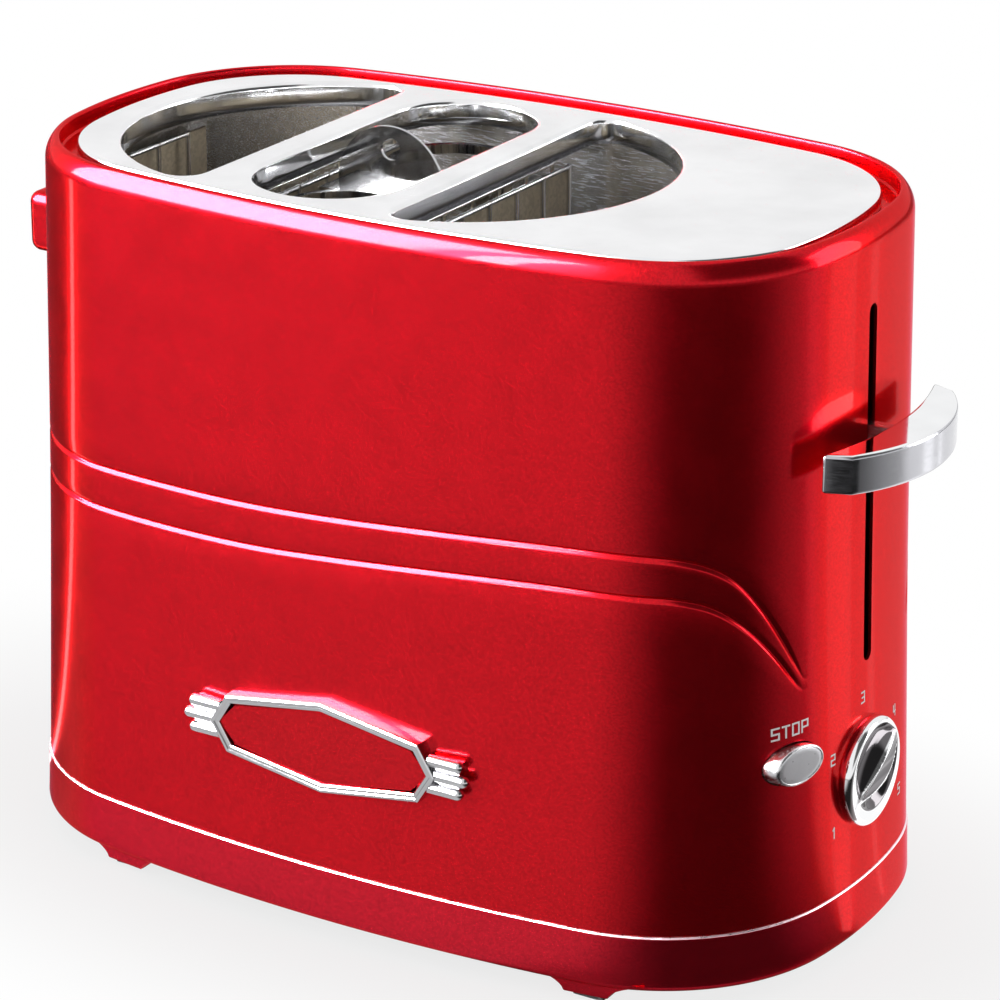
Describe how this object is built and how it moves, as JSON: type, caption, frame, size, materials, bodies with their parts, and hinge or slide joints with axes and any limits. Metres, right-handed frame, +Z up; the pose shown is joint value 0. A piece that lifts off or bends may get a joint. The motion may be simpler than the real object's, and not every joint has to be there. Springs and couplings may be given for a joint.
{
  "type": "hot dog toaster",
  "caption": "Oval upright toaster that warms frankfurters in a lift-out cage between bun slots, with a push-down lever, browning dial, stop button and rear crumb tray.",
  "frame": {"origin": "plan centre of the whole object, on the surface that its feet stand on", "axes": "+X to the lever and dial end, -Y to the long face with the badge, +Z up"},
  "size_m": [0.3172, 0.172, 0.2336],
  "materials": {
    "red_lacquer": "deep metallic red gloss lacquer on steel",
    "skirt_plastic": "moulded plastic lacquered the same red",
    "deck_steel": "mirror polished steel",
    "chrome_trim": "bright chrome",
    "badge_enamel": "red enamel",
    "button_plastic": "satin silver grey",
    "pad_rubber": "matt black",
    "tray_sheet": "bright rolled sheet",
    "chassis_steel": "zinc plated sheet",
    "bright_steel": "drawn bright steel",
    "chrome_wire": "chromed wire and strip",
    "mica": "silvery brown mica board",
    "heating_ribbon": "oxidised heating ribbon",
    "magnet_iron": "plain iron",
    "coil_copper": "enamelled copper winding",
    "board_green": "green circuit board",
    "black_plastic": "black moulding",
    "white_plastic": "off-white moulding"
  },
  "bodies": {
    "housing": {"badge_bezel": "chrome_trim", "badge_panel": "badge_enamel", "badge_push_nuts": "bright_steel", "base_pan": "chassis_steel", "base_screws": "bright_steel", "base_skirt": "skirt_plastic", "bay_panel": "chassis_steel", "board_parts": "black_plastic", "browning_pot": "black_plastic", "bun_guard_left_inner": "chrome_wire", "bun_guard_left_outer": "chrome_wire", "bun_guard_right_inner": "chrome_wire", "bun_guard_right_outer": "chrome_wire", "cancel_switch": "black_plastic", "carriage_spring": "bright_steel", "chassis_floor": "chassis_steel", "control_board": "board_green", "cord_gland": "pad_rubber", "dog_guard_left": "chrome_wire", "dog_guard_right": "chrome_wire", "foot_pad_front_left": "pad_rubber", "foot_pad_front_right": "pad_rubber", "foot_pad_rear_left": "pad_rubber", "foot_pad_rear_right": "pad_rubber", "front_reflector": "tray_sheet", "guide_rod_front": "bright_steel", "guide_rod_rear": "bright_steel", "heater_board_left_inner": "mica", "heater_board_left_outer": "mica", "heater_board_right_inner": "mica", "heater_board_right_outer": "mica", "heater_winding_left_inner": "heating_ribbon", "heater_winding_left_outer": "heating_ribbon", "heater_winding_right_inner": "heating_ribbon", "heater_winding_right_outer": "heating_ribbon", "latch_magnet_coil": "coil_copper", "latch_magnet_core": "magnet_iron", "left_end_panel": "tray_sheet", "outer_shell": "red_lacquer", "rear_reflector": "tray_sheet", "rod_bridge": "chassis_steel", "side_grip": "chrome_trim", "side_grip_screws": "bright_steel", "terminal_block": "white_plastic", "top_plate": "deck_steel"},
    "carriage": {"carriage_bracket": "chassis_steel", "carriage_arm_front": "chassis_steel", "carriage_arm_rear": "chassis_steel", "bun_rack_left": "chassis_steel", "bun_rack_right": "chassis_steel", "hot_dog_platform": "chassis_steel", "armature_plate": "magnet_iron", "lever_stem": "chassis_steel", "lever_handle": "chrome_trim"},
    "cage": {"hot_dog_cage": "chrome_wire"},
    "dial": {"dial_knob": "chrome_trim", "dial_shaft": "bright_steel"},
    "stop": {"stop_button": "button_plastic"},
    "tray": {"crumb_tray": "tray_sheet"}
  },
  "joints": [
    {"name": "lever_slide", "type": "slide", "parent": "housing", "child": "carriage", "axis": [0, 0, 1], "range_m": [-0.064, 0.035], "stiffness_N_per_m": 150, "springref_m": 0.025, "deforming": ["carriage_spring"]},
    {"name": "cage_lift", "type": "slide", "parent": "carriage", "child": "cage", "axis": [0, 0, 1], "range_m": [0, 0.16]},
    {"name": "dial_turn", "type": "hinge", "parent": "housing", "child": "dial", "pos_m": [0.14, 0, 0.0575], "axis": [1, 0, 0], "range_deg": [-64, 182]},
    {"name": "stop_press", "type": "slide", "parent": "housing", "child": "stop", "axis": [-1, 0, 0], "range_m": [0, 0.0025], "stiffness_N_per_m": 400, "springref_m": -0.002},
    {"name": "tray_slide", "type": "slide", "parent": "housing", "child": "tray", "axis": [0, 1, 0], "range_m": [0, 0.13]}
  ]
}
